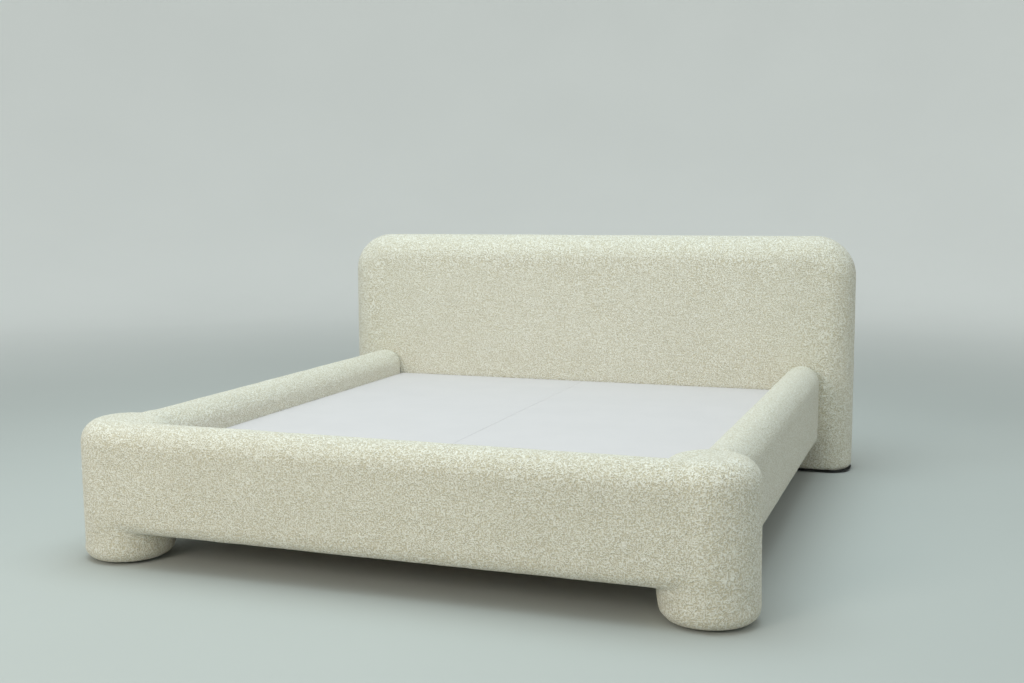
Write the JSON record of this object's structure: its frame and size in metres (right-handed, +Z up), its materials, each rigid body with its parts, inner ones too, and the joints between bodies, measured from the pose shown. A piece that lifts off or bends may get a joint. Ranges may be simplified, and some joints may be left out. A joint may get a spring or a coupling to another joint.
{
  "type": "upholstered headboard bed",
  "caption": "Low platform bed in looped fabric: rounded slab headboard, footboard beam on round feet, padded side rails and lift-out platform panels.",
  "frame": {"origin": "on the floor, under the middle of the bed's length and width", "axes": "+Y from the foot end towards the headboard, +Z up, +X to the right as seen from the foot end"},
  "size_m": [2.402, 2.418, 1.029],
  "materials": {
    "boucle": "matte",
    "platform_cloth": "matte",
    "foam": "matte",
    "dust_cloth": "matte",
    "plywood": "matte",
    "timber": "matte",
    "painted_steel": "satin",
    "zinc_steel": "satin",
    "black_plastic": "matte"
  },
  "bodies": {
    "frame": {"headboard_cover": "boucle", "headboard_edge_foam": "foam", "headboard_front_foam": "foam", "headboard_back_foam": "foam", "headboard_front_board": "plywood", "headboard_back_board": "plywood", "headboard_posts": "timber", "headboard_cross_rails": "timber", "headboard_stiles": "timber", "headboard_dust_cloth": "dust_cloth", "headboard_glides": "black_plastic", "footboard_cover": "boucle", "footboard_beam_foam": "foam", "footboard_beam_boards": "plywood", "footboard_beam_battens": "timber", "footboard_end_blocks": "timber", "left_foot_foam": "foam", "right_foot_foam": "foam", "left_foot_skin": "plywood", "right_foot_skin": "plywood", "left_foot_discs": "plywood", "right_foot_discs": "plywood", "left_foot_blocks": "timber", "right_foot_blocks": "timber", "foot_dust_cloths": "dust_cloth", "foot_glides": "black_plastic", "left_rail_cover": "boucle", "right_rail_cover": "boucle", "left_rail_foam": "foam", "right_rail_foam": "foam", "left_rail_boards": "plywood", "right_rail_boards": "plywood", "left_rail_battens": "timber", "right_rail_battens": "timber", "left_rail_end_blocks": "timber", "right_rail_end_blocks": "timber", "left_rail_ledger": "timber", "right_rail_ledger": "timber", "head_ledger": "timber", "foot_ledger": "timber", "ledger_screws": "zinc_steel", "rail_bolts": "zinc_steel", "rail_nuts": "zinc_steel", "beam_bolts": "zinc_steel", "beam_nuts": "zinc_steel", "centre_beam": "timber", "centre_beam_hangers": "painted_steel", "front_centre_leg": "painted_steel", "rear_centre_leg": "painted_steel", "leg_screws": "zinc_steel"},
    "left_panel": {"left_panel_board": "plywood", "left_panel_cloth": "platform_cloth", "left_panel_stiffeners": "timber"},
    "right_panel": {"right_panel_board": "plywood", "right_panel_cloth": "platform_cloth", "right_panel_stiffeners": "timber"},
    "front_leveller": {"front_leg_adjuster": "black_plastic"},
    "rear_leveller": {"rear_leg_adjuster": "black_plastic"}
  },
  "joints": [
    {"name": "left_panel_lift", "type": "slide", "parent": "frame", "child": "left_panel", "axis": [0, 0, 1], "range_m": [0, 0.3]},
    {"name": "right_panel_lift", "type": "slide", "parent": "frame", "child": "right_panel", "axis": [0, 0, 1], "range_m": [0, 0.3]},
    {"name": "front_leveller_screw", "type": "slide", "parent": "frame", "child": "front_leveller", "axis": [0, 0, 1], "range_m": [0, 0.012]},
    {"name": "rear_leveller_screw", "type": "slide", "parent": "frame", "child": "rear_leveller", "axis": [0, 0, 1], "range_m": [0, 0.012]}
  ]
}
